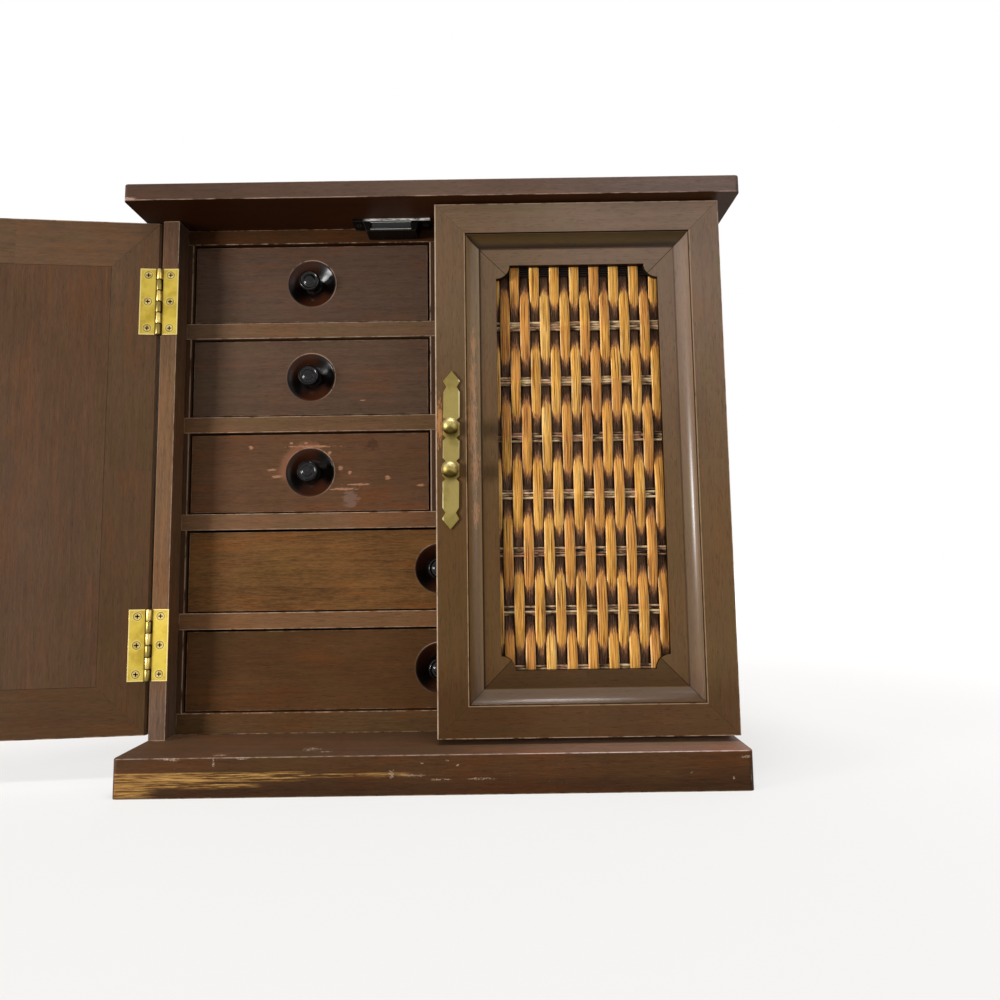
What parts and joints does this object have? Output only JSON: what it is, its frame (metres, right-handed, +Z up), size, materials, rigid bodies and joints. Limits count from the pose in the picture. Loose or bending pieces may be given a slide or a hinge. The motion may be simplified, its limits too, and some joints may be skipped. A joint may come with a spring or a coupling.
{
  "type": "desktop cabinet with doors",
  "caption": "Small desktop cabinet: dark wood case with rows of knobbed drawers behind two framed doors with woven splint panels, brass butt hinges and pulls.",
  "frame": {"origin": "on the underside of the base, midway between the case sides and below their front edges", "axes": "+X to the right seen from the front, +Y to the back, +Z up"},
  "size_m": [0.4754, 0.2003, 0.3161],
  "materials": {
    "case_wood": "walnut-brown stain under a worn satin lacquer",
    "door_wood": "walnut-brown stain under a worn satin lacquer",
    "drawer_wood": "walnut-brown stain under a worn satin lacquer",
    "box_wood": "plain sawn drawer stock",
    "back_wood": "thin board, stained brown",
    "splint": "woven wood splints, honey stain with dark edges",
    "knob_black": "turned wood in glossy black lacquer",
    "brass": "plated, satin",
    "pull_brass": "aged satin brass",
    "catch_black": "black moulded housing",
    "catch_steel": "bright plate",
    "magnet": "dark ferrite block"
  },
  "bodies": {
    "case": {"base_board": "case_wood", "top_board": "case_wood", "case_side_left": "case_wood", "case_side_right": "case_wood", "back_panel": "back_wood", "top_rail": "case_wood", "shelf_1": "case_wood", "shelf_2": "case_wood", "shelf_3": "case_wood", "shelf_4": "case_wood", "bottom_rail": "case_wood", "centre_dividers": "case_wood", "side_guides": "case_wood", "catch_housings": "catch_black", "catch_pole_plates": "catch_steel", "catch_magnets": "magnet", "hinge_left_case_leaves": "brass", "hinge_right_case_leaves": "brass", "hinge_pins": "brass", "case_screws": "brass"},
    "door_left": {"door_left_frame": "door_wood", "door_left_moulding": "door_wood", "door_left_backing": "back_wood", "door_left_weave": "splint", "door_left_pull": "pull_brass", "door_left_strike": "catch_steel", "door_left_screws": "brass", "hinge_left_door_leaves": "brass"},
    "door_right": {"door_right_frame": "door_wood", "door_right_moulding": "door_wood", "door_right_backing": "back_wood", "door_right_weave": "splint", "door_right_pull": "pull_brass", "door_right_strike": "catch_steel", "door_right_screws": "brass", "hinge_right_door_leaves": "brass"},
    "drawer_left_1": {"drawer_left_1_front": "drawer_wood", "drawer_left_1_box": "box_wood", "drawer_left_1_knob": "knob_black"},
    "drawer_right_1": {"drawer_right_1_front": "drawer_wood", "drawer_right_1_box": "box_wood", "drawer_right_1_knob": "knob_black"},
    "drawer_left_2": {"drawer_left_2_front": "drawer_wood", "drawer_left_2_box": "box_wood", "drawer_left_2_knob": "knob_black"},
    "drawer_right_2": {"drawer_right_2_front": "drawer_wood", "drawer_right_2_box": "box_wood", "drawer_right_2_knob": "knob_black"},
    "drawer_left_3": {"drawer_left_3_front": "drawer_wood", "drawer_left_3_box": "box_wood", "drawer_left_3_knob": "knob_black"},
    "drawer_right_3": {"drawer_right_3_front": "drawer_wood", "drawer_right_3_box": "box_wood", "drawer_right_3_knob": "knob_black"},
    "drawer_wide_4": {"drawer_wide_4_front": "drawer_wood", "drawer_wide_4_box": "box_wood", "drawer_wide_4_knob": "knob_black"},
    "drawer_wide_5": {"drawer_wide_5_front": "drawer_wood", "drawer_wide_5_box": "box_wood", "drawer_wide_5_knob": "knob_black"}
  },
  "joints": [
    {"name": "door_left_hinge", "type": "hinge", "parent": "case", "child": "door_left", "pos_m": [-0.1553, -0.001, 0.1637], "axis": [0, 0, -1], "range_deg": [-174, 6]},
    {"name": "door_right_hinge", "type": "hinge", "parent": "case", "child": "door_right", "pos_m": [0.1553, -0.001, 0.1637], "axis": [0, 0, 1], "range_deg": [0, 180]},
    {"name": "drawer_left_1_slide", "type": "slide", "parent": "case", "child": "drawer_left_1", "axis": [0, -1, 0], "range_m": [0, 0.1]},
    {"name": "drawer_right_1_slide", "type": "slide", "parent": "case", "child": "drawer_right_1", "axis": [0, -1, 0], "range_m": [0, 0.0943]},
    {"name": "drawer_left_2_slide", "type": "slide", "parent": "case", "child": "drawer_left_2", "axis": [0, -1, 0], "range_m": [0, 0.1]},
    {"name": "drawer_right_2_slide", "type": "slide", "parent": "case", "child": "drawer_right_2", "axis": [0, -1, 0], "range_m": [0, 0.0943]},
    {"name": "drawer_left_3_slide", "type": "slide", "parent": "case", "child": "drawer_left_3", "axis": [0, -1, 0], "range_m": [0, 0.1]},
    {"name": "drawer_right_3_slide", "type": "slide", "parent": "case", "child": "drawer_right_3", "axis": [0, -1, 0], "range_m": [0, 0.0943]},
    {"name": "drawer_wide_4_slide", "type": "slide", "parent": "case", "child": "drawer_wide_4", "axis": [0, -1, 0], "range_m": [0, 0.0943]},
    {"name": "drawer_wide_5_slide", "type": "slide", "parent": "case", "child": "drawer_wide_5", "axis": [0, -1, 0], "range_m": [0, 0.0943]}
  ],
  "couplings": [
    {"joint": "drawer_right_1_slide", "follows": "door_right_hinge", "m_per_rad": 0.03},
    {"joint": "drawer_right_2_slide", "follows": "door_right_hinge", "m_per_rad": 0.03},
    {"joint": "drawer_right_3_slide", "follows": "door_right_hinge", "m_per_rad": 0.03},
    {"joint": "drawer_wide_4_slide", "follows": "door_right_hinge", "m_per_rad": 0.03},
    {"joint": "drawer_wide_5_slide", "follows": "door_right_hinge", "m_per_rad": 0.03}
  ]
}
